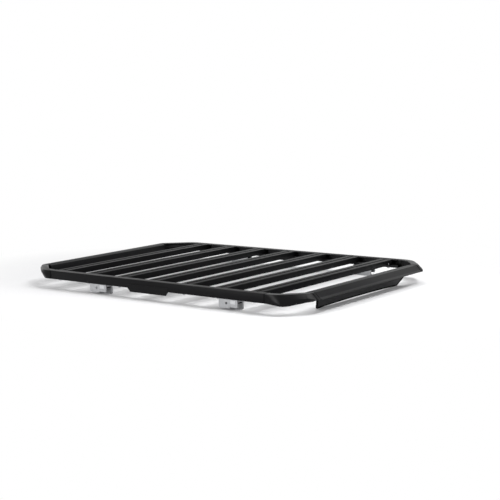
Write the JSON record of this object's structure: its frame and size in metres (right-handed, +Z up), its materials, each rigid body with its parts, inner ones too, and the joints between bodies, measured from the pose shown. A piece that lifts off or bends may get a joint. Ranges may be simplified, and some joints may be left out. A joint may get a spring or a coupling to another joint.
{
  "type": "flat platform roof rack",
  "caption": "Flat black platform roof rack: perimeter frame with cast corners, slotted cross planks, a wind deflector under the front rail, and clamp feet for raised roof rails.",
  "frame": {"origin": "centre of the bounding box on the plane that the feet stand on", "axes": "+Z up, the front with the wind deflector faces -Y, the side that the picture shows is at -X"},
  "size_m": [1.3256, 1.924, 0.104],
  "materials": {
    "black_coated_extrusion": "satin black powder coat on extrusions",
    "black_coated_casting": "satin black powder coat on castings",
    "black_coated_sheet": "satin black powder coat on bent sheet",
    "black_moulding": "fine moulded grain",
    "pale_grey_casting": "pale grey satin coat",
    "black_rubber": "matt"
  },
  "bodies": {
    "root": {"foot_bracket_front_left": "pale_grey_casting", "foot_bracket_front_right": "pale_grey_casting", "foot_bracket_rear_left": "pale_grey_casting", "foot_bracket_rear_right": "pale_grey_casting", "foot_jaw_front_left": "pale_grey_casting", "foot_jaw_front_right": "pale_grey_casting", "foot_jaw_rear_left": "pale_grey_casting", "foot_jaw_rear_right": "pale_grey_casting", "foot_pad_front_left": "black_rubber", "foot_pad_front_right": "black_rubber", "foot_pad_rear_left": "black_rubber", "foot_pad_rear_right": "black_rubber", "front_corner_left": "black_coated_casting", "front_corner_right": "black_coated_casting", "front_rail": "black_coated_extrusion", "plank_1": "black_coated_extrusion", "plank_1_cap_left": "black_moulding", "plank_1_cap_right": "black_moulding", "plank_2": "black_coated_extrusion", "plank_2_cap_left": "black_moulding", "plank_2_cap_right": "black_moulding", "plank_3": "black_coated_extrusion", "plank_3_cap_left": "black_moulding", "plank_3_cap_right": "black_moulding", "plank_4": "black_coated_extrusion", "plank_4_cap_left": "black_moulding", "plank_4_cap_right": "black_moulding", "plank_5": "black_coated_extrusion", "plank_5_cap_left": "black_moulding", "plank_5_cap_right": "black_moulding", "plank_6": "black_coated_extrusion", "plank_6_cap_left": "black_moulding", "plank_6_cap_right": "black_moulding", "plank_7": "black_coated_extrusion", "plank_7_cap_left": "black_moulding", "plank_7_cap_right": "black_moulding", "rear_corner_left": "black_coated_casting", "rear_corner_right": "black_coated_casting", "rear_rail": "black_coated_extrusion", "side_plate_left": "black_moulding", "side_plate_right": "black_moulding", "side_rail_left": "black_coated_extrusion", "side_rail_right": "black_coated_extrusion", "wind_deflector": "black_coated_sheet"}
  },
  "joints": []
}
